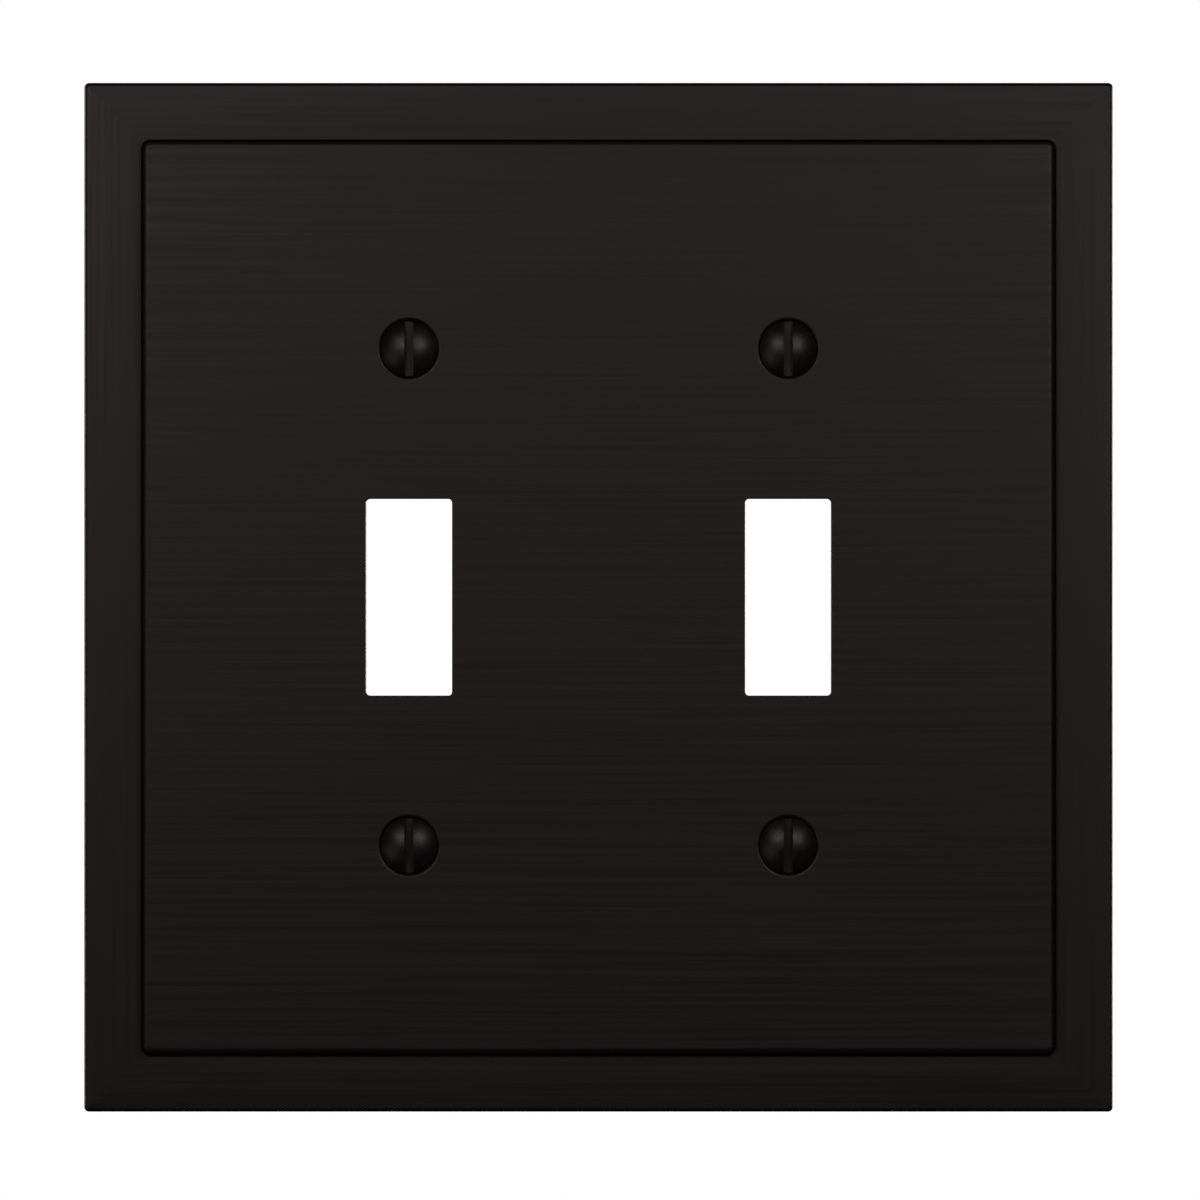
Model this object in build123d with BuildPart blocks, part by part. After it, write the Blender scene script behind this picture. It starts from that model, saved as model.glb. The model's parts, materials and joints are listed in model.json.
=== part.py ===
from build123d import *
import math
import os

# Two-gang cover plate for two toggle switches, cast in zinc alloy, with its four plate screws.
# The wall is the plane Y = 0, the front faces -Y, and the origin is the middle of the rear rim.
# Sizes are in millimetres. A "height" is measured from the wall towards the front.

# Standard spacings of a two-gang toggle plate
gang_pitch = 46.0375
plate_screw_pitch = 60.325

# Outline and border
plate_width = 125.0
plate_height = 125.0
plate_corner_radius = 0.6
border_width = 6.9
border_height = 5.0
border_edge_radius = 0.5
wall = 2.0
inside_corner_radius = 1.0

# Raised panel
panel_raise = 1.4
panel_corner_radius = 1.15
panel_edge_radius = 0.95

# Toggle openings
toggle_width = 10.45
toggle_length = 23.9
toggle_corner_radius = 0.5
toggle_edge_radius = 0.15
toggle_rim_width = 1.5
toggle_rim_height = 1.0

# Screw holes
screw_hole_diameter = 4.1
countersink_diameter = 7.3
countersink_angle = 82.0
countersink_lip_radius = 0.5
boss_diameter = 9.0
boss_wall_clearance = 1.6

# Stiffening ribs and ejector marks on the back
pocket_corner_radius = 1.5
rib_thickness = 1.6
rib_wall_clearance = 1.5
gusset_thickness = 1.4
gusset_reach = 4.0
gusset_pitch = 31.0
ejector_diameter = 5.0
ejector_depth = 0.2
ejector_inset = 11.0

# No. 6-32 oval-head plate screw, with a plain neck under the head
thread_diameter = 3.505
thread_length = 7.9
neck_diameter = 2.95
screw_length = 12.7
head_diameter = 6.9
head_band = 0.12
head_dome = 1.1
head_seat_gap = 0.03
slot_width = 1.1
slot_depth = 1.4
tip_chamfer = 0.45

# How far a cut runs out past its piece, and how close two sizes are to count as one
cut_overrun = 1.0
size_tolerance = 1e-4

# Heights and outlines that follow from the sizes above
panel_height = border_height + panel_raise
panel_ceiling = panel_height - wall
border_ceiling = border_height - wall
panel_width = plate_width - 2 * border_width
panel_length = plate_height - 2 * border_width
pocket_width = panel_width - 2 * wall
pocket_length = panel_length - 2 * wall
inside_width = plate_width - 2 * wall
inside_length = plate_height - 2 * wall
half_gang = gang_pitch / 2
half_screw_pitch = plate_screw_pitch / 2
cone_slope = math.tan(math.radians(countersink_angle / 2))

# The head's cone sits a seat gap off the countersink, so its edge lies this far below the panel
seat_offset = head_seat_gap / math.cos(math.radians(countersink_angle / 2))
head_edge_depth = ((countersink_diameter - head_diameter) / 2 - seat_offset) / cone_slope
head_cone_depth = (head_diameter - neck_diameter) / 2 / cone_slope

screw_places = {
    "mounting_screw_upper_left": (-half_gang, half_screw_pitch),
    "mounting_screw_upper_right": (half_gang, half_screw_pitch),
    "mounting_screw_lower_left": (-half_gang, -half_screw_pitch),
    "mounting_screw_lower_right": (half_gang, -half_screw_pitch),
}


def wall_plane(height):
    """The plane at a height above the wall, facing the front, with X across and local Y up."""
    return Plane(origin=(0, -height, 0), x_dir=(1, 0, 0), z_dir=(0, -1, 0))


with BuildPart() as cover_plate:
    # Border and side walls: a shallow tray, open to the wall
    with BuildSketch(wall_plane(0)):
        RectangleRounded(plate_width, plate_height, plate_corner_radius)
    extrude(amount=border_height)
    fillet(cover_plate.faces().sort_by(Axis.Y)[0].edges(), border_edge_radius)
    with BuildSketch(wall_plane(0)):
        RectangleRounded(inside_width, inside_length, inside_corner_radius)
    extrude(amount=border_ceiling, mode=Mode.SUBTRACT)

    # Raised panel, with its front edge rounded over
    with BuildSketch(wall_plane(border_ceiling)):
        RectangleRounded(panel_width, panel_length, panel_corner_radius)
    extrude(amount=panel_height - border_ceiling)
    fillet(cover_plate.faces().sort_by(Axis.Y)[0].edges(), panel_edge_radius)

    # Pocket behind the panel
    with BuildSketch(wall_plane(border_ceiling)):
        RectangleRounded(pocket_width, pocket_length, pocket_corner_radius)
    extrude(amount=panel_ceiling - border_ceiling, mode=Mode.SUBTRACT)

    # Bosses behind the screw holes, which stop short of the wall to clear the switch straps
    with BuildSketch(wall_plane(boss_wall_clearance)):
        with GridLocations(gang_pitch, plate_screw_pitch, 2, 2):
            Circle(boss_diameter / 2)
    extrude(amount=panel_ceiling - boss_wall_clearance)

    # Low rims behind the toggle openings
    with BuildSketch(wall_plane(panel_ceiling - toggle_rim_height)):
        with GridLocations(gang_pitch, 0, 2, 1):
            RectangleRounded(
                toggle_width + 2 * toggle_rim_width,
                toggle_length + 2 * toggle_rim_width,
                toggle_corner_radius + toggle_rim_width,
            )
    extrude(amount=toggle_rim_height)

    # Rib between the two switches
    with BuildSketch(wall_plane(rib_wall_clearance)):
        Rectangle(rib_thickness, inside_length + wall)
    extrude(amount=panel_ceiling - rib_wall_clearance)

    # Gussets from the side walls to the border's underside
    with BuildSketch(wall_plane(rib_wall_clearance)):
        for side in (-1, 1):
            reach_middle = side * (inside_width - gusset_reach) / 2
            with Locations((reach_middle, 0)):
                with GridLocations(0, gusset_pitch, 1, 3):
                    Rectangle(gusset_reach, gusset_thickness)
            reach_middle = side * (inside_length - gusset_reach) / 2
            with Locations((0, reach_middle)):
                with GridLocations(gusset_pitch * 2, 0, 2, 1):
                    Rectangle(gusset_thickness, gusset_reach)
    extrude(amount=border_ceiling - rib_wall_clearance)

    # Ejector pin marks in the pocket's floor
    with BuildSketch(wall_plane(panel_ceiling)):
        with GridLocations(pocket_width - 2 * ejector_inset, pocket_length - 2 * ejector_inset, 2, 2):
            Circle(ejector_diameter / 2)
    extrude(amount=ejector_depth, mode=Mode.SUBTRACT)

    # Toggle openings, through everything
    with BuildSketch(wall_plane(0)):
        with GridLocations(gang_pitch, 0, 2, 1):
            RectangleRounded(toggle_width, toggle_length, toggle_corner_radius)
    extrude(amount=panel_height, mode=Mode.SUBTRACT)

    # Countersunk screw holes
    with Locations(wall_plane(panel_height)):
        with GridLocations(gang_pitch, plate_screw_pitch, 2, 2):
            CounterSinkHole(
                radius=screw_hole_diameter / 2,
                counter_sink_radius=countersink_diameter / 2,
                depth=panel_height,
                counter_sink_angle=countersink_angle,
            )

    # Softened edges of the openings and countersinks on the front
    front_face = cover_plate.faces().filter_by(Axis.Y).sort_by(Axis.Y)[0]
    countersink_edges = front_face.edges().filter_by(
        lambda e: e.geom_type == GeomType.CIRCLE
        and abs(e.radius - countersink_diameter / 2) < size_tolerance
    )
    fillet(countersink_edges, countersink_lip_radius)
    front_face = cover_plate.faces().filter_by(Axis.Y).sort_by(Axis.Y)[0]
    toggle_edges = front_face.edges().filter_by(
        lambda e: abs(e.center().X) < half_gang + toggle_width
        and abs(e.center().Z) < toggle_length / 2 + toggle_edge_radius
    )
    fillet(toggle_edges, toggle_edge_radius)

cover_plate.part.label = "cover_plate"


def make_screw(across, up):
    """One oval-head plate screw, seated in its countersink with the slot upright."""
    # In the section, local X is the radius and local Y the depth behind the panel's front
    section_plane = Plane(origin=(across, -panel_height, up), x_dir=(1, 0, 0), z_dir=(0, 0, 1))
    head_radius = head_diameter / 2
    neck_radius = neck_diameter / 2
    thread_radius = thread_diameter / 2
    dome_edge_depth = head_edge_depth - head_band
    dome_top_depth = dome_edge_depth - head_dome
    tip_depth = head_edge_depth + screw_length
    thread_start_depth = tip_depth - thread_length
    runout = thread_radius - neck_radius
    with BuildPart() as screw:
        with BuildSketch(section_plane):
            with BuildLine():
                TangentArc((0, dome_top_depth), (head_radius, dome_edge_depth), tangent=(1, 0))
                Polyline(
                    (head_radius, dome_edge_depth),
                    (head_radius, head_edge_depth),
                    (neck_radius, head_edge_depth + head_cone_depth),
                    (neck_radius, thread_start_depth - runout),
                    (thread_radius, thread_start_depth),
                    (thread_radius, tip_depth - tip_chamfer),
                    (thread_radius - tip_chamfer, tip_depth),
                    (0, tip_depth),
                    (0, dome_top_depth),
                )
            make_face()
        revolve(axis=Axis((across, 0, up), (0, 1, 0)))
        slot_floor_height = panel_height - dome_top_depth - slot_depth
        with BuildSketch(wall_plane(slot_floor_height)):
            with Locations((across, up)):
                Rectangle(slot_width, head_diameter + cut_overrun)
        extrude(amount=slot_depth + cut_overrun, mode=Mode.SUBTRACT)
    return screw.part


os.makedirs("parts", exist_ok=True)
export_step(cover_plate.part, "parts/cover_plate.step")
for screw_name, (across, up) in screw_places.items():
    mounting_screw = make_screw(across, up)
    mounting_screw.label = screw_name
    export_step(mounting_screw, f"parts/{screw_name}.step")
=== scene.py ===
"""A two-gang toggle switch cover plate in a satin near-black finish, with its four plate screws.

Heights are millimetres from the wall towards the room, along -Y. The sizes of the plate and its
screws are in millimetres too, and everything else is in metres.
"""

import json
import math

import bmesh
import bpy
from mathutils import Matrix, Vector
from mathutils.geometry import delaunay_2d_cdt


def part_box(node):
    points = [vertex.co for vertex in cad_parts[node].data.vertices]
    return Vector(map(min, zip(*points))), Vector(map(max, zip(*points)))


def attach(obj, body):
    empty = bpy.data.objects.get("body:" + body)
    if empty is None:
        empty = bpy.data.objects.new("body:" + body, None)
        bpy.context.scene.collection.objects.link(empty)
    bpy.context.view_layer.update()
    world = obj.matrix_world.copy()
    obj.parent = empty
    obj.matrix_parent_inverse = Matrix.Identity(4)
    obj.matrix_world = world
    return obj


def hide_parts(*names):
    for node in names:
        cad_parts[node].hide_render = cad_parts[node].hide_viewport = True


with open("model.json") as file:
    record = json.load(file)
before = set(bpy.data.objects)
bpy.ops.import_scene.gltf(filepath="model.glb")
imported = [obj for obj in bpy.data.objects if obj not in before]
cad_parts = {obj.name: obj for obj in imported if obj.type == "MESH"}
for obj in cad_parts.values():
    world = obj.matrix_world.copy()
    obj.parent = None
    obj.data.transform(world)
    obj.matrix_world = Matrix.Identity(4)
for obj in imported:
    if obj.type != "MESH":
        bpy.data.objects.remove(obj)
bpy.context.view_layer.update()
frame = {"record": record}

MM = 0.001
QUARTER = math.pi / 2
mounts = {m["name"]: m for m in frame["record"]["mounts"]}
plate_low, plate_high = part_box("cover_plate")

# Plate: outline and front
HALF_WIDTH = plate_high.x / MM
HALF_HEIGHT = plate_high.z / MM
PANEL_HEIGHT = -plate_low.y / MM
PANEL_RAISE = 1.4
BORDER_HEIGHT = PANEL_HEIGHT - PANEL_RAISE
BORDER_WIDTH = 6.9
BORDER_CROWN = 0.04
OUTER_EDGE_RADIUS = 0.5
OUTER_CORNER_RADIUS = 0.6
PANEL_EDGE_RADIUS = 0.95
PANEL_CORNER_RADIUS = 1.15

# Plate: openings and screw holes
HALF_GANG = mounts["plate_screws"]["dims"]["spacing_x_mm"] / 2
HALF_SCREW_PITCH = mounts["plate_screws"]["dims"]["spacing_y_mm"] / 2
TOGGLE_HALF_WIDTH = 10.45 / 2
TOGGLE_HALF_LENGTH = 23.9 / 2
TOGGLE_CORNER_RADIUS = 0.5
TOGGLE_EDGE_RADIUS = 0.15
TOGGLE_RIM_WIDTH = 1.5
TOGGLE_RIM_HEIGHT = 1.0
HOLE_RADIUS = 4.1 / 2
COUNTERSINK_RADIUS = 7.3 / 2
COUNTERSINK_TILT = math.radians(90 - 82 / 2)
COUNTERSINK_LIP_RADIUS = 0.5
COUNTERSINK_LIP_REACH = COUNTERSINK_LIP_RADIUS * math.tan(COUNTERSINK_TILT / 2)

# Plate: back
WALL = 2.0
BORDER_CEILING = BORDER_HEIGHT - WALL
PANEL_CEILING = PANEL_HEIGHT - WALL
INSIDE_CORNER_RADIUS = 1.0
POCKET_CORNER_RADIUS = 1.5
BOSS_RADIUS = 4.5
BOSS_END = 1.6
CAST_FILLET = 0.4
RIM_BREAK = 0.12
EJECTOR_RADIUS = 2.5
EJECTOR_DEPTH = 0.2
EJECTOR_INSET = 11.0
EJECTOR_DRAFT = 0.05
RIB_END = 1.5
RIB_THICKNESS = 1.6
GUSSET_THICKNESS = 1.4
GUSSET_REACH = 4.0
GUSSET_PITCH = 31.0
SIDE_GUSSETS = 3
END_GUSSETS = 2
RIB_SINK = 0.5
RIB_EDGE = 0.25

# Plate screws
HEAD_RADIUS = 6.9 / 2
HEAD_BAND = 0.12
HEAD_DOME = 1.1
SCREW_LENGTH = 12.7
NECK_RADIUS = 2.95 / 2
THREAD_RADIUS = mounts["plate_screws"]["dims"]["stud_r_mm"]
THREAD_LENGTH = 7.9
THREAD_CORE_RADIUS = 1.24
THREAD_PITCH = 25.4 / 32
THREAD_SINK = 0.05
THREAD_ROOT_SHARE = 0.86
THREAD_CREST_SHARE = 0.14
THREAD_RUNOUT_TURNS = 0.6
THREAD_STEPS = 48
HEAD_SEAT_GAP = 0.03
HEAD_EDGE = 0.05
DOME_STEPS = 24
SLOT_HALF_WIDTH = 0.55
SLOT_DEPTH = 1.4
SLOT_OVERRUN = 0.5
TIP_BEVEL = 0.3

# Which finish a face takes, as its place in the piece's list of materials
FRONT, CAST_BACK = 0, 1
HEAD, SHANK = 0, 1

# Finish
SATIN_DARK = (0.0045, 0.0032, 0.0029)
SATIN_LIGHT = (0.0065, 0.0048, 0.0044)
SATIN_ROUGHNESS = 0.44
SATIN_GLOSS = 0.5
WARM_TINT = (1.0, 0.86, 0.83)
CAST_DARK = (0.011, 0.009, 0.0085)
CAST_LIGHT = (0.024, 0.021, 0.020)
CAST_ROUGHNESS = (0.5, 0.68)
HEAD_ROUGHNESS = (0.33, 0.41)
STEEL_DARK = (0.075, 0.07, 0.066)
STEEL_LIGHT = (0.13, 0.125, 0.12)
STEEL_ROUGHNESS = (0.42, 0.58)
STREAK_SHARE = 0.6
STREAK_ROUGHNESS = 0.055
CLOUD_ROUGHNESS = 0.01

# Grain of the finishes, in blotches per metre along X, Y and Z
STREAKS_ACROSS = (28, 900, 1700)
STREAKS_UPRIGHT = (1700, 900, 28)
CLOUDS = (60, 60, 60)
PEBBLES = (1400, 1400, 1400)
FLOW_MARKS = (70, 70, 45)
PAINT_SPECKS = (1500, 1500, 1500)
DRAWN_LINES = (2600, 260, 2600)
PLATING_PATCHES = (420, 300, 420)
FLOOR_MOTTLE = (4, 4, 4)

# The noise values that give the low and the high end of a finish
NOISE_SPREAD = (0.3, 0.7)

# Depth of the grain, in metres
STREAK_DEPTH = 0.000014
PEBBLE_DEPTH = 0.00004
SPECK_DEPTH = 0.000006
DRAWN_DEPTH = 0.000008

# Studio, in metres and watts
SENSOR_WIDTH_MM = 36.0
CAMERA_CLIP = (0.01, 50)
CAMERA_DISTANCE = 1.5
VIEW_WIDTH = 0.14563
CAMERA_AIM_X = 0.00017
CAMERA_AIM_Z = -0.00033
WORLD_FILL_FRONT = 0.03
WORLD_FILL_BEHIND = 0.005
WORLD_FADE = (-0.6, 0.0)
FLOOR_LEVEL = -0.4
FLOOR_REACH = 6.0
FLOOR_DARK = (0.88, 0.88, 0.88)
FLOOR_LIGHT = (0.92, 0.92, 0.92)
FLOOR_ROUGHNESS = 0.8
# Painted shade: the floor's glow is lower under the plate and rises to the far glow further out
FLOOR_GLOW_IN_PAINTED_SHADE = 0.88
FLOOR_GLOW_FAR = 1.0
FLOOR_PAINTED_SHADE_REACH = (0.3, 1.2)

# Softboxes as (place, size, watts)
SOFTBOXES = {
    "key_right": ((0.18, -0.42, 0.13), (0.16, 0.16), 0.285),
    "key_left": ((-0.16, -0.42, 0.13), (0.16, 0.16), 0.255),
    "low_left_fill": ((-0.85, -0.9, -0.35), (0.5, 0.5), 0.5),
    "back_right": ((0.9, 0.95, -0.2), (0.7, 0.7), 12.0),
    "back_left": ((-0.9, 0.8, 0.6), (0.6, 0.6), 4.0),
    "side_right": ((1.1, 0.5, 0.2), (0.5, 0.5), 6.5),
    "side_left": ((-1.1, 0.5, 0.2), (0.5, 0.5), 5.5),
}

# Smoothness of curved outlines and edges, and how close two points are to count as one
FILL_TOLERANCE = 1e-6
CORNER_STEPS = 10
CROWN_STEPS = 12
CIRCLE_STEPS = 96
ROUND_STEPS = 8
SMALL_ROUND_STEPS = 4
OUTER_EDGE_STEPS = 6
BEVEL_STEPS = 3
SHARP_DEGREES = 38
BEVEL_DEGREES = 40
FLAT_FACE_WEIGHT = 80


# ---------------------------------------------------------------- outlines and shells


def rounded_outline(half_width, half_height, radius, centre=(0, 0)):
    """A rectangle with round corners, as points (x, z), anticlockwise seen from the room."""
    points = []
    for turn, (sx, sz) in enumerate([(1, 1), (-1, 1), (-1, -1), (1, -1)]):
        for step in range(CORNER_STEPS + 1):
            angle = QUARTER * (turn + step / CORNER_STEPS)
            x = centre[0] + sx * (half_width - radius) + radius * math.cos(angle)
            z = centre[1] + sz * (half_height - radius) + radius * math.sin(angle)
            points.append((x, z))
    return points


def circle(radius, centre):
    """A circle as points (x, z), anticlockwise seen from the room."""
    turns = [2 * math.pi * step / CIRCLE_STEPS for step in range(CIRCLE_STEPS)]
    return [(centre[0] + radius * math.cos(a), centre[1] + radius * math.sin(a)) for a in turns]


def is_inside(point, loop):
    """Whether a point lies inside a closed loop of points."""
    x, z = point
    inside = False
    for (x1, z1), (x2, z2) in zip(loop, loop[1:] + loop[:1]):
        if (z1 > z) != (z2 > z) and x < x1 + (z - z1) * (x2 - x1) / (z2 - z1):
            inside = not inside
    return inside


class Shell:
    """A closed surface that grows loop by loop, at heights above the wall."""

    def __init__(self):
        self.mesh = bmesh.new()
        self.finish = 0

    def loop(self, points, height):
        """New vertices on a closed outline at one height."""
        return [self.mesh.verts.new((x * MM, -height * MM, z * MM)) for x, z in points]

    def face(self, verts):
        """One face in the shell's present finish."""
        self.mesh.faces.new(verts).material_index = self.finish

    def bridge(self, first, second):
        """A band of faces between two loops."""
        count = len(first)
        for i in range(count):
            j = (i + 1) % count
            self.face((first[i], first[j], second[j], second[i]))

    def loft(self, start, stations):
        """Carries a loop through stations of (points, height), and returns the last loop."""
        for points, height in stations:
            following = self.loop(points, height)
            self.bridge(start, following)
            start = following
        return start

    def fill(self, outer, holes=()):
        """Closes the flat area between an outer loop and its holes with triangles."""
        loops = [outer, *holes]
        corners = [vert for loop in loops for vert in loop]
        edges, first = [], 0
        for loop in loops:
            count = len(loop)
            edges += [(first + i, first + (i + 1) % count) for i in range(count)]
            first += count
        flat = [Vector((vert.co.x / MM, vert.co.z / MM)) for vert in corners]
        _, _, triangles, sources, _, _ = delaunay_2d_cdt(flat, edges, [], 0, FILL_TOLERANCE)
        outlines = [[(v.co.x / MM, v.co.z / MM) for v in loop] for loop in loops]
        for triangle in triangles:
            verts = [corners[sources[i][0]] for i in triangle]
            middle = sum((v.co for v in verts), Vector()) / 3 / MM
            spot = (middle.x, middle.z)
            if is_inside(spot, outlines[0]) and not any(is_inside(spot, o) for o in outlines[1:]):
                self.face(verts)

    def fan(self, loop, tip):
        """Closes a loop to one point (x, z, height)."""
        vert = self.mesh.verts.new((tip[0] * MM, -tip[2] * MM, tip[1] * MM))
        for a, b in zip(loop, loop[1:] + loop[:1]):
            self.face((a, b, vert))

    def build(self, name):
        """The shell as an object, with its faces outwards and only its real edges sharp."""
        bmesh.ops.recalc_face_normals(self.mesh, faces=self.mesh.faces)
        mesh = bpy.data.meshes.new(name)
        self.mesh.to_mesh(mesh)
        self.mesh.free()
        mesh.shade_smooth()
        mesh.set_sharp_from_angle(angle=math.radians(SHARP_DEGREES))
        piece = bpy.data.objects.new(name, mesh)
        bpy.context.scene.collection.objects.link(piece)
        return piece


def arc(start, end, bulge, steps=ROUND_STEPS):
    """A quarter-ellipse from start to end, both (offset, height), without its start point.

    A bulge of 1 leaves the start along the offset, and 0 leaves it along the height.
    """
    points = []
    for step in range(1, steps + 1):
        angle = QUARTER * step / steps
        along, across = math.sin(angle), 1 - math.cos(angle)
        if not bulge:
            along, across = across, along
        offset = start[0] + (end[0] - start[0]) * along
        height = start[1] + (end[1] - start[1]) * across
        points.append((offset, height))
    return points


def as_plain_mesh(piece, material=None):
    """Turns a piece's modifiers into plain mesh, and returns the piece."""
    graph = bpy.context.evaluated_depsgraph_get()
    mesh = bpy.data.meshes.new_from_object(piece.evaluated_get(graph))
    mesh.name = piece.name
    piece.modifiers.clear()
    piece.data = mesh
    if material:
        mesh.materials.clear()
        mesh.materials.append(material)
    return piece


def flatten_shading(piece):
    """Lets broad flat faces keep their own direction beside rounded edges."""
    weighted = piece.modifiers.new("flat faces", "WEIGHTED_NORMAL")
    weighted.keep_sharp = True
    weighted.weight = FLAT_FACE_WEIGHT
    return as_plain_mesh(piece)


def soften(piece, radius):
    """Small round edges, and flat faces that keep their own direction beside them."""
    bevel = piece.modifiers.new("round edges", "BEVEL")
    bevel.width = radius * MM
    bevel.segments = BEVEL_STEPS
    bevel.limit_method = "ANGLE"
    bevel.angle_limit = math.radians(BEVEL_DEGREES)
    bevel.harden_normals = True


def join(piece, other):
    """Makes another piece's mesh a part of this piece."""
    with bpy.context.temp_override(active_object=piece, selected_editable_objects=[piece, other]):
        bpy.ops.object.join()


# ---------------------------------------------------------------- the casting


def with_corner(path, corner):
    """Gives every (inset, height) of a path the same corner radius."""
    return [(inset, height, corner) for inset, height in path]


def border_stations():
    """The casting's skin from the panel's top edge, over the border and round to the pocket.

    Each station is (inset from the outer edge, height, corner radius).
    """
    foot = BORDER_WIDTH
    stations = []
    # The panel's rounded edge, then its foot
    top = (foot + PANEL_EDGE_RADIUS, PANEL_HEIGHT)
    side = (foot, PANEL_HEIGHT - PANEL_EDGE_RADIUS)
    for inset, height in arc(top, side, 1):
        stations.append((inset, height, PANEL_CORNER_RADIUS - (inset - foot)))
    # The crowned border
    flat = foot - OUTER_EDGE_RADIUS
    for step in range(CROWN_STEPS + 1):
        along = step / CROWN_STEPS
        inset = foot - flat * along
        height = BORDER_HEIGHT + BORDER_CROWN * 4 * along * (1 - along)
        corner = PANEL_CORNER_RADIUS + (OUTER_CORNER_RADIUS - PANEL_CORNER_RADIUS) * along
        stations.append((inset, height, corner))
    # The outer edge, the outer wall and the rear rim
    start = (OUTER_EDGE_RADIUS, BORDER_HEIGHT)
    end = (0, BORDER_HEIGHT - OUTER_EDGE_RADIUS)
    stations += with_corner(arc(start, end, 1, OUTER_EDGE_STEPS), OUTER_CORNER_RADIUS)
    stations.append((0, RIM_BREAK, OUTER_CORNER_RADIUS))
    stations.append((RIM_BREAK, 0, OUTER_CORNER_RADIUS))
    stations.append((WALL - RIM_BREAK, 0, INSIDE_CORNER_RADIUS))
    stations.append((WALL, RIM_BREAK, INSIDE_CORNER_RADIUS))
    # Inside: the side wall, the border's underside and the step up into the pocket
    stations.append((WALL, BORDER_CEILING - CAST_FILLET, INSIDE_CORNER_RADIUS))
    start, end = (WALL, BORDER_CEILING - CAST_FILLET), (WALL + CAST_FILLET, BORDER_CEILING)
    stations += with_corner(arc(start, end, 0, SMALL_ROUND_STEPS), INSIDE_CORNER_RADIUS)
    step_inset = BORDER_WIDTH + WALL
    stations.append((step_inset - CAST_FILLET, BORDER_CEILING, POCKET_CORNER_RADIUS + CAST_FILLET))
    start = (step_inset - CAST_FILLET, BORDER_CEILING)
    end = (step_inset, BORDER_CEILING + CAST_FILLET)
    stations += with_corner(arc(start, end, 1, SMALL_ROUND_STEPS), POCKET_CORNER_RADIUS)
    stations.append((step_inset, PANEL_CEILING - CAST_FILLET, POCKET_CORNER_RADIUS))
    start = (step_inset, PANEL_CEILING - CAST_FILLET)
    end = (step_inset + CAST_FILLET, PANEL_CEILING)
    stations += with_corner(arc(start, end, 0, SMALL_ROUND_STEPS), POCKET_CORNER_RADIUS)
    return stations


def toggle_stations(centre):
    """A toggle opening's wall and the rim behind it, from the front to the pocket's ceiling."""
    rim_end = PANEL_CEILING - TOGGLE_RIM_HEIGHT
    edge_start = (TOGGLE_EDGE_RADIUS, PANEL_HEIGHT)
    edge_end = (0, PANEL_HEIGHT - TOGGLE_EDGE_RADIUS)
    path = arc(edge_start, edge_end, 1, SMALL_ROUND_STEPS)
    path.append((0, rim_end + RIM_BREAK))
    path.append((RIM_BREAK, rim_end))
    path.append((TOGGLE_RIM_WIDTH - RIM_BREAK, rim_end))
    path.append((TOGGLE_RIM_WIDTH, rim_end + RIM_BREAK))
    path.append((TOGGLE_RIM_WIDTH, PANEL_CEILING - CAST_FILLET))
    foot = (TOGGLE_RIM_WIDTH + CAST_FILLET, PANEL_CEILING)
    path += arc(path[-1], foot, 0, SMALL_ROUND_STEPS)
    return [(toggle_outline(offset, centre), height) for offset, height in path]


def toggle_outline(offset, centre):
    """A toggle opening's outline, moved outwards by an offset."""
    half_width = TOGGLE_HALF_WIDTH + offset
    half_length = TOGGLE_HALF_LENGTH + offset
    return rounded_outline(half_width, half_length, TOGGLE_CORNER_RADIUS + offset, centre)


def screw_hole_stations(centre):
    """A countersunk hole with its rounded lip and the boss behind it, from front to ceiling."""
    path = []
    for step in range(1, ROUND_STEPS + 1):
        tilt = COUNTERSINK_TILT * step / ROUND_STEPS
        lip_start = COUNTERSINK_RADIUS + COUNTERSINK_LIP_REACH
        radius = lip_start - COUNTERSINK_LIP_RADIUS * math.sin(tilt)
        height = PANEL_HEIGHT - COUNTERSINK_LIP_RADIUS * (1 - math.cos(tilt))
        path.append((radius, height))
    cone_depth = (COUNTERSINK_RADIUS - HOLE_RADIUS) * math.tan(COUNTERSINK_TILT)
    path.append((HOLE_RADIUS, PANEL_HEIGHT - cone_depth))
    path.append((HOLE_RADIUS, BOSS_END + RIM_BREAK))
    path.append((HOLE_RADIUS + RIM_BREAK, BOSS_END))
    path.append((BOSS_RADIUS - RIM_BREAK, BOSS_END))
    path.append((BOSS_RADIUS, BOSS_END + RIM_BREAK))
    path.append((BOSS_RADIUS, PANEL_CEILING - CAST_FILLET))
    path += arc(path[-1], (BOSS_RADIUS + CAST_FILLET, PANEL_CEILING), 0, SMALL_ROUND_STEPS)
    return [(circle(radius, centre), height) for radius, height in path]


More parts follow.
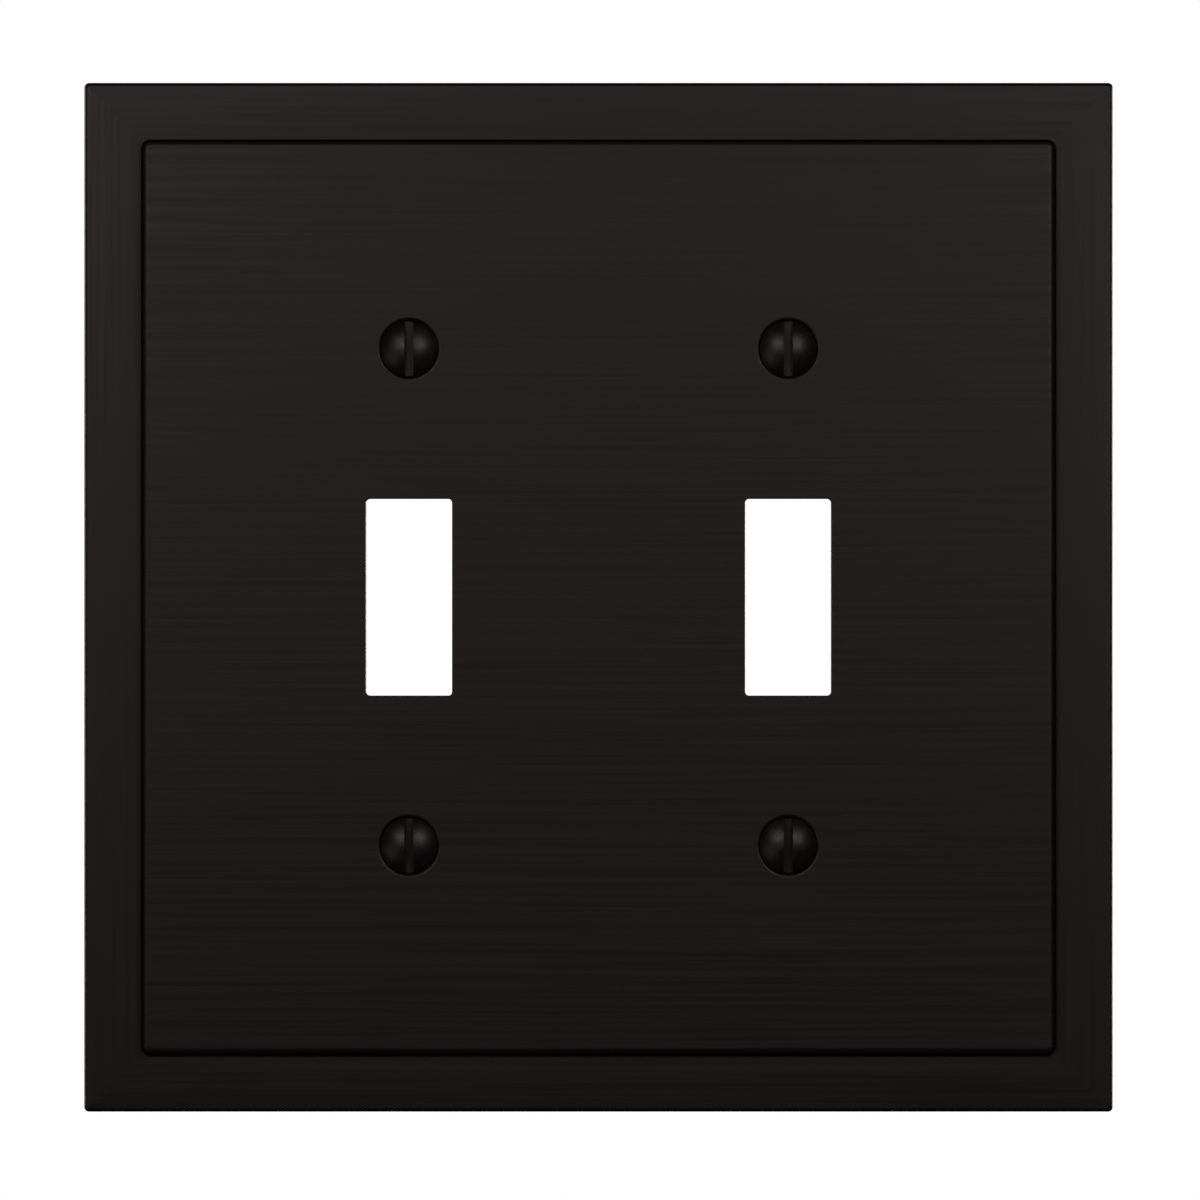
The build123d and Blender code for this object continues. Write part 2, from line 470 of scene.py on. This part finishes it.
def make_casting():
    """The casting, all but its ribs, as one closed skin."""
    shell = Shell()

    def outline(inset, corner):
        """The plate's outline, moved inwards by an inset."""
        return rounded_outline(HALF_WIDTH - inset, HALF_HEIGHT - inset, corner)

    front_edge = outline(BORDER_WIDTH + PANEL_EDGE_RADIUS, PANEL_CORNER_RADIUS - PANEL_EDGE_RADIUS)
    front = shell.loop(front_edge, PANEL_HEIGHT)
    stations = [(outline(inset, corner), height) for inset, height, corner in border_stations()]
    rim = next(i for i, (_, height) in enumerate(stations) if height == 0)
    wall_side = shell.loft(front, stations[:rim + 1])
    shell.finish = CAST_BACK
    ceiling = shell.loft(wall_side, stations[rim + 1:])
    shell.finish = FRONT

    front_holes, ceiling_holes = [], []
    for side in (-1, 1):
        centre = (side * HALF_GANG, 0)
        start = shell.loop(toggle_outline(TOGGLE_EDGE_RADIUS, centre), PANEL_HEIGHT)
        front_holes.append(start)
        ceiling_holes.append(shell.loft(start, toggle_stations(centre)))
        for up in (-1, 1):
            centre = (side * HALF_GANG, up * HALF_SCREW_PITCH)
            lip = circle(COUNTERSINK_RADIUS + COUNTERSINK_LIP_REACH, centre)
            start = shell.loop(lip, PANEL_HEIGHT)
            front_holes.append(start)
            ceiling_holes.append(shell.loft(start, screw_hole_stations(centre)))

    shell.finish = CAST_BACK
    mark_inset = BORDER_WIDTH + WALL + EJECTOR_INSET
    for side in (-1, 1):
        for up in (-1, 1):
            centre = (side * (HALF_WIDTH - mark_inset), up * (HALF_HEIGHT - mark_inset))
            start = shell.loop(circle(EJECTOR_RADIUS, centre), PANEL_CEILING)
            ceiling_holes.append(start)
            foot = circle(EJECTOR_RADIUS - EJECTOR_DRAFT, centre)
            floor = shell.loft(start, [(foot, PANEL_CEILING + EJECTOR_DEPTH)])
            shell.fill(floor)

    shell.fill(ceiling, ceiling_holes)
    shell.finish = FRONT
    shell.fill(front, front_holes)
    return flatten_shading(shell.build("cover_plate_casting"))


# ---------------------------------------------------------------- ribs behind the panel


def new_tree(name, sizes):
    """An empty Geometry Nodes tree with named sizes in metres, and its first and last nodes."""
    tree = bpy.data.node_groups.new(name, "GeometryNodeTree")
    tree.interface.new_socket("Geometry", in_out="INPUT", socket_type="NodeSocketGeometry")
    tree.interface.new_socket("Geometry", in_out="OUTPUT", socket_type="NodeSocketGeometry")
    for size in sizes:
        tree.interface.new_socket(size, in_out="INPUT", socket_type="NodeSocketFloat")
    tree.interface.new_socket("Material", in_out="INPUT", socket_type="NodeSocketMaterial")
    return tree, tree.nodes.new("NodeGroupInput"), tree.nodes.new("NodeGroupOutput")


def add_node(tree, kind, settings=(), **inputs):
    """A node with its settings, and its inputs as values or as sockets to link from."""
    node = tree.nodes.new(kind)
    for name, value in dict(settings).items():
        setattr(node, name, value)
    for name, value in inputs.items():
        socket = node.inputs[name.replace("_", " ")]
        if isinstance(value, bpy.types.NodeSocket):
            tree.links.new(value, socket)
        else:
            socket.default_value = value
    return node


def maths(tree, operation, first, second=0.0):
    """The result of a sum on two numbers or sockets."""
    node = tree.nodes.new("ShaderNodeMath")
    node.operation = operation
    for socket, value in zip(node.inputs, (first, second)):
        if isinstance(value, bpy.types.NodeSocket):
            tree.links.new(value, socket)
        else:
            socket.default_value = value
    return node.outputs[0]


def vector(tree, x=0.0, y=0.0, z=0.0):
    """A vector from three numbers or sockets."""
    return add_node(tree, "ShaderNodeCombineXYZ", X=x, Y=y, Z=z).outputs[0]


def run_tree(piece, tree, values):
    """Puts the tree on the piece as a modifier, with its sizes set by each socket's identifier."""
    modifier = piece.modifiers.new(tree.name, "NODES")
    modifier.node_group = tree
    for item in tree.interface.items_tree:
        if item.in_out == "INPUT" and item.name in values:
            modifier[item.identifier] = values[item.name]


def rib_tree():
    """A rib up the middle of the back, and rows of gussets along the four side walls."""
    sizes = ("Ceiling", "Rib End", "Rib Thickness", "Rib Length", "Border Ceiling",
             "Gusset Thickness", "Gusset Reach", "Gusset Pitch", "Inside Width", "Inside Length")
    tree, start, end = new_tree("back ribs", sizes)
    size = start.outputs
    joined = tree.nodes.new("GeometryNodeJoinGeometry")

    def block_between(low, high, across, along):
        """A block from one height to another, centred on the plate's axis."""
        depth = maths(tree, "SUBTRACT", high, low)
        middle = maths(tree, "MULTIPLY", maths(tree, "ADD", high, low), -0.5)
        block = add_node(tree, "GeometryNodeMeshCube", Size=vector(tree, across, depth, along))
        place = vector(tree, 0.0, middle, 0.0)
        moved = add_node(
            tree, "GeometryNodeTransform", Geometry=block.outputs[0], Translation=place)
        return moved.outputs[0]

    rib = block_between(size["Rib End"], size["Ceiling"], size["Rib Thickness"], size["Rib Length"])
    tree.links.new(rib, joined.inputs[0])

    def gusset_row(count, direction, wall_distance, block, pitch):
        """Gussets at an even pitch along one wall."""
        spread = maths(tree, "MULTIPLY", pitch, -(count - 1) / 2)
        if direction == "up":
            first, step = vector(tree, x=wall_distance, z=spread), vector(tree, z=pitch)
        else:
            first, step = vector(tree, x=spread, z=wall_distance), vector(tree, x=pitch)
        row = add_node(tree, "GeometryNodeMeshLine", Count=count, Start_Location=first, Offset=step)
        placed = add_node(
            tree, "GeometryNodeInstanceOnPoints", Points=row.outputs[0], Instance=block)
        tree.links.new(placed.outputs[0], joined.inputs[0])

    low, high = size["Rib End"], size["Border Ceiling"]
    thick, reach = size["Gusset Thickness"], size["Gusset Reach"]
    side_block = block_between(low, high, reach, thick)
    end_block = block_between(low, high, thick, reach)
    double_pitch = maths(tree, "MULTIPLY", size["Gusset Pitch"], 2.0)
    for sign in (-0.5, 0.5):
        inset = maths(tree, "SUBTRACT", size["Inside Width"], size["Gusset Reach"])
        wall_distance = maths(tree, "MULTIPLY", inset, sign)
        gusset_row(SIDE_GUSSETS, "up", wall_distance, side_block, size["Gusset Pitch"])
        inset = maths(tree, "SUBTRACT", size["Inside Length"], size["Gusset Reach"])
        wall_distance = maths(tree, "MULTIPLY", inset, sign)
        gusset_row(END_GUSSETS, "across", wall_distance, end_block, double_pitch)

    whole = add_node(tree, "GeometryNodeRealizeInstances", Geometry=joined.outputs[0])
    painted = add_node(
        tree, "GeometryNodeSetMaterial", Geometry=whole.outputs[0], Material=size["Material"])
    tree.links.new(painted.outputs[0], end.inputs[0])
    return tree


def make_ribs(finish):
    """All the ribs as one piece, a little sunk into the walls they stand on, with soft edges."""
    mesh = bpy.data.meshes.new("back_ribs")
    piece = bpy.data.objects.new("back_ribs", mesh)
    bpy.context.scene.collection.objects.link(piece)
    run_tree(piece, rib_tree(), {
        "Ceiling": (PANEL_CEILING + RIB_SINK) * MM,
        "Border Ceiling": (BORDER_CEILING + RIB_SINK) * MM,
        "Rib End": RIB_END * MM,
        "Rib Thickness": RIB_THICKNESS * MM,
        "Rib Length": 2 * (HALF_HEIGHT - WALL + RIB_SINK) * MM,
        "Gusset Thickness": GUSSET_THICKNESS * MM,
        "Gusset Reach": (GUSSET_REACH + RIB_SINK) * MM,
        "Gusset Pitch": GUSSET_PITCH * MM,
        "Inside Width": 2 * (HALF_WIDTH - WALL + RIB_SINK) * MM,
        "Inside Length": 2 * (HALF_HEIGHT - WALL + RIB_SINK) * MM,
        "Material": finish,
    })
    soften(piece, RIB_EDGE)
    return as_plain_mesh(piece, finish)


# ---------------------------------------------------------------- plate screws


def thread_tree():
    """A thread: a tapered ridge wound round the screw's axis, left-handed, sunk in at both ends."""
    sizes = ("Crest Radius", "Root Radius", "Length", "Pitch", "Start", "Across", "Up")
    tree, start, end = new_tree("screw thread", sizes)
    size = start.outputs
    turns = maths(tree, "DIVIDE", size["Length"], size["Pitch"])
    depth = maths(tree, "SUBTRACT", size["Crest Radius"], size["Root Radius"])
    both_radii = maths(tree, "ADD", size["Crest Radius"], size["Root Radius"])
    middle = maths(tree, "MULTIPLY", both_radii, 0.5)
    line = add_node(
        tree, "GeometryNodeCurveSpiral", Resolution=THREAD_STEPS, Rotations=turns,
        Start_Radius=middle, End_Radius=middle, Height=size["Length"])

    # Both ends run out: the ridge sinks into the core over a little more than half a turn
    along = tree.nodes.new("GeometryNodeSplineParameter").outputs["Factor"]
    from_end = maths(tree, "MINIMUM", along, maths(tree, "SUBTRACT", 1.0, along))
    turned = maths(tree, "MULTIPLY", from_end, turns)
    risen = add_node(tree, "ShaderNodeMapRange", {"interpolation_type": "SMOOTHSTEP"}, Value=turned)
    risen.inputs["From Max"].default_value = THREAD_RUNOUT_TURNS
    sunk = maths(tree, "MULTIPLY", maths(tree, "SUBTRACT", 1.0, risen.outputs[0]), depth)
    kept = maths(tree, "SUBTRACT", 1.0, maths(tree, "DIVIDE", sunk, middle))
    place = add_node(tree, "GeometryNodeInputPosition").outputs[0]
    scaled = add_node(tree, "ShaderNodeVectorMath", {"operation": "MULTIPLY"})
    tree.links.new(place, scaled.inputs[0])
    tree.links.new(vector(tree, kept, kept, 1.0), scaled.inputs[1])
    line = add_node(
        tree, "GeometryNodeSetPosition", Geometry=line.outputs[0], Position=scaled.outputs[0])
    line = add_node(tree, "GeometryNodeSetCurveNormal", {"mode": "Z_UP"}, Curve=line.outputs[0])

    profile = add_node(
        tree, "GeometryNodeCurvePrimitiveQuadrilateral", {"mode": "TRAPEZOID"},
        Bottom_Width=maths(tree, "MULTIPLY", size["Pitch"], THREAD_ROOT_SHARE),
        Top_Width=maths(tree, "MULTIPLY", size["Pitch"], THREAD_CREST_SHARE),
        Offset=0.0, Height=depth)
    profile = add_node(
        tree, "GeometryNodeTransform", Geometry=profile.outputs[0], Rotation=(0, 0, -QUARTER))
    ridge = add_node(
        tree, "GeometryNodeCurveToMesh", Curve=line.outputs[0],
        Profile_Curve=profile.outputs[0], Fill_Caps=True)
    flat = add_node(
        tree, "GeometryNodeSetShadeSmooth", Geometry=ridge.outputs[0], Shade_Smooth=False)

    # The spiral rises along local Z, which is turned to point into the wall
    seated = add_node(
        tree, "GeometryNodeTransform", Geometry=flat.outputs[0], Rotation=(-QUARTER, 0, 0),
        Translation=vector(tree, size["Across"], size["Start"], size["Up"]))
    whole = add_node(tree, "GeometryNodeRealizeInstances", Geometry=seated.outputs[0])
    painted = add_node(
        tree, "GeometryNodeSetMaterial", Geometry=whole.outputs[0], Material=size["Material"])
    tree.links.new(painted.outputs[0], end.inputs[0])
    return tree


def make_thread(tree, centre, thread_start, tip, finish):
    """The wound ridge of one screw, clear of the thread's ends by a turn."""
    mesh = bpy.data.meshes.new("screw_thread")
    ridge = bpy.data.objects.new("screw_thread", mesh)
    bpy.context.scene.collection.objects.link(ridge)
    run_tree(ridge, tree, {
        "Crest Radius": THREAD_RADIUS * MM,
        "Root Radius": (THREAD_CORE_RADIUS - THREAD_SINK) * MM,
        "Length": (thread_start - tip - 2 * THREAD_PITCH) * MM,
        "Pitch": THREAD_PITCH * MM,
        "Start": -(thread_start - THREAD_PITCH) * MM,
        "Across": centre[0] * MM,
        "Up": centre[1] * MM,
        "Material": finish,
    })
    return as_plain_mesh(ridge, finish)


def screw_profile():
    """The screw's section as (radius, height, finish) from the dome's middle down to the tip."""
    cone_half_angle = QUARTER - COUNTERSINK_TILT
    room = COUNTERSINK_RADIUS - HEAD_RADIUS - HEAD_SEAT_GAP / math.cos(cone_half_angle)
    edge = PANEL_HEIGHT - room / math.tan(cone_half_angle)
    rim = edge + HEAD_BAND
    sphere = (HEAD_RADIUS ** 2 + HEAD_DOME ** 2) / (2 * HEAD_DOME)
    spread = math.asin(HEAD_RADIUS / sphere)
    section = []
    for step in range(1, DOME_STEPS + 1):
        angle = spread * step / DOME_STEPS
        height = rim + HEAD_DOME - sphere * (1 - math.cos(angle))
        section.append((sphere * math.sin(angle), height, HEAD))
    neck = edge - (HEAD_RADIUS - NECK_RADIUS) / math.tan(cone_half_angle)
    tip = edge - SCREW_LENGTH
    thread_start = tip + THREAD_LENGTH
    section.append((HEAD_RADIUS, edge, HEAD))
    section.append((NECK_RADIUS, neck, HEAD))
    section.append((NECK_RADIUS, thread_start, SHANK))
    section.append((THREAD_CORE_RADIUS, thread_start - (NECK_RADIUS - THREAD_CORE_RADIUS), SHANK))
    section.append((THREAD_CORE_RADIUS, tip + TIP_BEVEL, SHANK))
    section.append((THREAD_CORE_RADIUS - TIP_BEVEL, tip, SHANK))
    return section, rim + HEAD_DOME, thread_start, tip


def make_slot_cutter(centre, floor, top):
    """A block that cuts the upright screwdriver slot."""
    cutter_shell = Shell()
    reach = HEAD_RADIUS + SLOT_OVERRUN
    corners = [(SLOT_HALF_WIDTH, reach), (-SLOT_HALF_WIDTH, reach),
               (-SLOT_HALF_WIDTH, -reach), (SLOT_HALF_WIDTH, -reach)]
    outline = [(centre[0] + x, centre[1] + z) for x, z in corners]
    bottom = cutter_shell.loop(outline, floor)
    lid = cutter_shell.loft(bottom, [(outline, top + SLOT_OVERRUN)])
    cutter_shell.face(bottom)
    cutter_shell.face(lid)
    return cutter_shell.build("slot_cutter")


def make_screw(name, centre, head_finish, shank_finish, thread):
    """One oval-head screw: turned from a section, its slot cut and its thread wound on."""
    section, top, thread_start, tip = screw_profile()
    shell = Shell()
    radius, height, _ = section[0]
    first = ring = shell.loop(circle(radius, centre), height)
    for radius, height, finish in section[1:]:
        shell.finish = finish
        ring = shell.loft(ring, [(circle(radius, centre), height)])
    shell.fill(ring)
    shell.finish = HEAD
    shell.fan(first, (*centre, top))
    piece = shell.build(name)
    piece.data.materials.append(head_finish)
    piece.data.materials.append(shank_finish)

    cutter = make_slot_cutter(centre, top - SLOT_DEPTH, top)
    cut = piece.modifiers.new("slot", "BOOLEAN")
    cut.object = cutter
    cut.solver = "EXACT"
    soften(piece, HEAD_EDGE)
    as_plain_mesh(piece)
    bpy.data.objects.remove(cutter)
    join(piece, make_thread(thread, centre, thread_start, tip, shank_finish))
    return piece


# ---------------------------------------------------------------- finishes


def new_finish(name, metal=0.0):
    """A material, its tree and shader, and where on the piece a point is."""
    material = bpy.data.materials.new(name)
    material.use_nodes = True
    tree = material.node_tree
    shader = tree.nodes["Principled BSDF"]
    shader.inputs["Metallic"].default_value = metal
    place = tree.nodes.new("ShaderNodeTexCoord").outputs["Object"]
    return material, tree, shader, place


def new_coating(name):
    """A material with the warm gloss of the near-black coating."""
    material, tree, shader, place = new_finish(name)
    shader.inputs["Specular IOR Level"].default_value = SATIN_GLOSS
    shader.inputs["Specular Tint"].default_value = (*WARM_TINT, 1)
    return material, tree, shader, place


def noise(tree, place, per_metre, detail=3.0, rough=0.5, seed=(0, 0, 0)):
    """Noise with its own number of blotches per metre along X, Y and Z."""
    mapping = add_node(tree, "ShaderNodeMapping", Vector=place, Location=seed, Scale=per_metre)
    texture = add_node(
        tree, "ShaderNodeTexNoise", Vector=mapping.outputs[0], Scale=1.0,
        Detail=detail, Roughness=rough)
    return texture.outputs[0]


def ramp(tree, value, start, end, low, high):
    """Goes from low to high while the value goes from start to end."""
    node = add_node(
        tree, "ShaderNodeMapRange", Value=value, From_Min=start, From_Max=end,
        To_Min=low, To_Max=high)
    return node.outputs[0]


def between(tree, value, low, high):
    """A noise value spread from low to high."""
    return ramp(tree, value, *NOISE_SPREAD, low, high)


def shade(tree, shader, value, dark, light):
    """Colours the shader between two shades by a noise value."""
    mix = add_node(tree, "ShaderNodeMix", {"data_type": "RGBA"})
    tree.links.new(between(tree, value, 0.0, 1.0), mix.inputs["Factor"])
    mix.inputs[6].default_value = (*dark, 1)
    mix.inputs[7].default_value = (*light, 1)
    tree.links.new(mix.outputs[2], shader.inputs["Base Color"])


def bump(tree, shader, height, depth):
    """Raises the surface by a noise value."""
    node = add_node(tree, "ShaderNodeBump", Height=height, Distance=depth, Strength=1.0)
    tree.links.new(node.outputs[0], shader.inputs["Normal"])


def brushed_black():
    """The satin near-black of the front, brushed across the panel and along each border."""
    material, tree, shader, place = new_coating("brushed_black")
    across = noise(tree, place, STREAKS_ACROSS, detail=4)
    upright = noise(tree, place, STREAKS_UPRIGHT, detail=4)

    split = add_node(tree, "ShaderNodeSeparateXYZ", Vector=place).outputs
    from_middle = maths(tree, "ABSOLUTE", split["X"])
    on_side = maths(tree, "GREATER_THAN", from_middle, (HALF_WIDTH - BORDER_WIDTH) * MM)
    wider = maths(tree, "GREATER_THAN", from_middle, maths(tree, "ABSOLUTE", split["Z"]))
    side_border = maths(tree, "MULTIPLY", on_side, wider)
    brushing = add_node(tree, "ShaderNodeMix", {"data_type": "FLOAT"}, Factor=side_border)
    tree.links.new(across, brushing.inputs[2])
    tree.links.new(upright, brushing.inputs[3])
    streaks = brushing.outputs[0]

    clouds = noise(tree, place, CLOUDS, detail=2, seed=(3, 1, 7))
    streak_part = maths(tree, "MULTIPLY", streaks, STREAK_SHARE)
    cloud_part = maths(tree, "MULTIPLY", clouds, 1 - STREAK_SHARE)
    shade(tree, shader, maths(tree, "ADD", streak_part, cloud_part), SATIN_DARK, SATIN_LIGHT)
    from_streaks = between(tree, streaks, -STREAK_ROUGHNESS, STREAK_ROUGHNESS)
    low, high = SATIN_ROUGHNESS - CLOUD_ROUGHNESS, SATIN_ROUGHNESS + CLOUD_ROUGHNESS
    rough = maths(tree, "ADD", from_streaks, between(tree, clouds, low, high))
    tree.links.new(rough, shader.inputs["Roughness"])
    bump(tree, shader, streaks, STREAK_DEPTH)
    return material


def cast_black():
    """The same coating over the rough casting, on the side that faces the wall."""
    material, tree, shader, place = new_coating("cast_black")
    pebbles = noise(tree, place, PEBBLES, detail=4, rough=0.6)
    flow = noise(tree, place, FLOW_MARKS, detail=3, seed=(5, 2, 1))
    shade(tree, shader, flow, CAST_DARK, CAST_LIGHT)
    tree.links.new(between(tree, pebbles, *CAST_ROUGHNESS), shader.inputs["Roughness"])
    bump(tree, shader, pebbles, PEBBLE_DEPTH)
    return material


def head_black():
    """Satin near-black paint on a screw head, finely speckled."""
    material, tree, shader, place = new_coating("screw_head_black")
    specks = noise(tree, place, PAINT_SPECKS, detail=3)
    shade(tree, shader, specks, SATIN_DARK, SATIN_LIGHT)
    tree.links.new(between(tree, specks, *HEAD_ROUGHNESS), shader.inputs["Roughness"])
    bump(tree, shader, specks, SPECK_DEPTH)
    return material


def plated_steel():
    """Dark zinc plating on the neck and thread, drawn along the shank."""
    material, tree, shader, place = new_finish("plated_steel", metal=1.0)
    drawn = noise(tree, place, DRAWN_LINES, detail=3)
    patches = noise(tree, place, PLATING_PATCHES, detail=3, seed=(2, 8, 4))
    shade(tree, shader, patches, STEEL_DARK, STEEL_LIGHT)
    tree.links.new(between(tree, drawn, *STEEL_ROUGHNESS), shader.inputs["Roughness"])
    bump(tree, shader, drawn, DRAWN_DEPTH)
    return material


# ---------------------------------------------------------------- studio


def make_camera():
    """A long lens straight in front of the plate."""
    data = bpy.data.cameras.new("camera")
    data.sensor_width = SENSOR_WIDTH_MM
    data.clip_start, data.clip_end = CAMERA_CLIP
    camera = bpy.data.objects.new("camera", data)
    bpy.context.scene.collection.objects.link(camera)
    aim = Vector((CAMERA_AIM_X, plate_low.y, CAMERA_AIM_Z))
    data.lens = SENSOR_WIDTH_MM * CAMERA_DISTANCE / VIEW_WIDTH
    camera.location = aim + Vector((0, -CAMERA_DISTANCE, 0))
    camera.rotation_euler = (QUARTER, 0, 0)
    bpy.context.scene.camera = camera


def make_softbox(name, place, size, watts):
    """A soft rectangular lamp that faces the plate and isn't seen itself."""
    data = bpy.data.lights.new(name, "AREA")
    data.shape = "RECTANGLE"
    data.size, data.size_y = size
    data.energy = watts
    light = bpy.data.objects.new(name, data)
    bpy.context.scene.collection.objects.link(light)
    light.location = place
    light.rotation_euler = (-Vector(place)).to_track_quat("-Z", "Y").to_euler()
    light.visible_camera = False


def make_world():
    """White to look at. Everything else gets a dim fill, dimmer beside and behind the plate."""
    world = bpy.data.worlds.new("studio")
    bpy.context.scene.world = world
    world.use_nodes = True
    tree = world.node_tree
    tree.nodes.clear()
    seen = add_node(tree, "ShaderNodeBackground", Color=(1, 1, 1, 1), Strength=1.0)
    direction = tree.nodes.new("ShaderNodeTexCoord").outputs["Generated"]
    backwards = add_node(tree, "ShaderNodeSeparateXYZ", Vector=direction).outputs["Y"]
    strength = ramp(tree, backwards, *WORLD_FADE, WORLD_FILL_FRONT, WORLD_FILL_BEHIND)
    fill = add_node(tree, "ShaderNodeBackground", Color=(1, 1, 1, 1), Strength=strength)
    path = tree.nodes.new("ShaderNodeLightPath")
    mix = add_node(tree, "ShaderNodeMixShader", Fac=path.outputs["Is Camera Ray"])
    tree.links.new(fill.outputs[0], mix.inputs[1])
    tree.links.new(seen.outputs[0], mix.inputs[2])
    output = tree.nodes.new("ShaderNodeOutputWorld")
    tree.links.new(mix.outputs[0], output.inputs["Surface"])


def make_floor():
    """A wide pale floor below the plate, with a pool of painted shade under it. It neither lights
    nor mirrors in the plate.
    """
    material, tree, shader, place = new_finish("floor_white")
    mottle = noise(tree, place, FLOOR_MOTTLE, detail=2)
    shade(tree, shader, mottle, FLOOR_DARK, FLOOR_LIGHT)
    shader.inputs["Roughness"].default_value = FLOOR_ROUGHNESS
    shader.inputs["Emission Color"].default_value = (1, 1, 1, 1)
    # Painted shade: the floor glows a little less in a pool under the plate, which melts into white
    # further out
    distance = add_node(tree, "ShaderNodeVectorMath", {"operation": "LENGTH"})
    tree.links.new(place, distance.inputs[0])
    glow_with_painted_shade = ramp(tree, distance.outputs["Value"], *FLOOR_PAINTED_SHADE_REACH, FLOOR_GLOW_IN_PAINTED_SHADE, FLOOR_GLOW_FAR)
    tree.links.new(glow_with_painted_shade, shader.inputs["Emission Strength"])
    mesh = bpy.data.meshes.new("floor")
    corners = [(-1, -1), (1, -1), (1, 1), (-1, 1)]
    verts = [(x * FLOOR_REACH, y * FLOOR_REACH, FLOOR_LEVEL) for x, y in corners]
    mesh.from_pydata(verts, [], [(0, 1, 2, 3)])
    mesh.materials.append(material)
    floor = bpy.data.objects.new("floor", mesh)
    bpy.context.scene.collection.objects.link(floor)
    floor.visible_diffuse = False
    floor.visible_glossy = False


# ---------------------------------------------------------------- the whole object

brushed, cast = brushed_black(), cast_black()
casting = make_casting()
for finish in (brushed, cast):
    casting.data.materials.append(finish)
ribs = make_ribs(cast)
for piece in (casting, ribs):
    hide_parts("cover_plate")
    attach(piece, "plate")

head_paint, shank_plating = head_black(), plated_steel()
thread = thread_tree()
for up_word, up in {"upper": 1, "lower": -1}.items():
    for side_word, side in {"left": -1, "right": 1}.items():
        node = f"mounting_screw_{up_word}_{side_word}"
        centre = (side * HALF_GANG, up * HALF_SCREW_PITCH)
        name = f"plate_screw_{up_word}_{side_word}"
        screw = make_screw(name, centre, head_paint, shank_plating, thread)
        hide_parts(node)
        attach(screw, f"screw_{up_word}_{side_word}")

make_camera()
make_world()
make_floor()
for name, (place, size, watts) in SOFTBOXES.items():
    make_softbox(name, place, size, watts)
bpy.context.scene.view_settings.view_transform = "Standard"
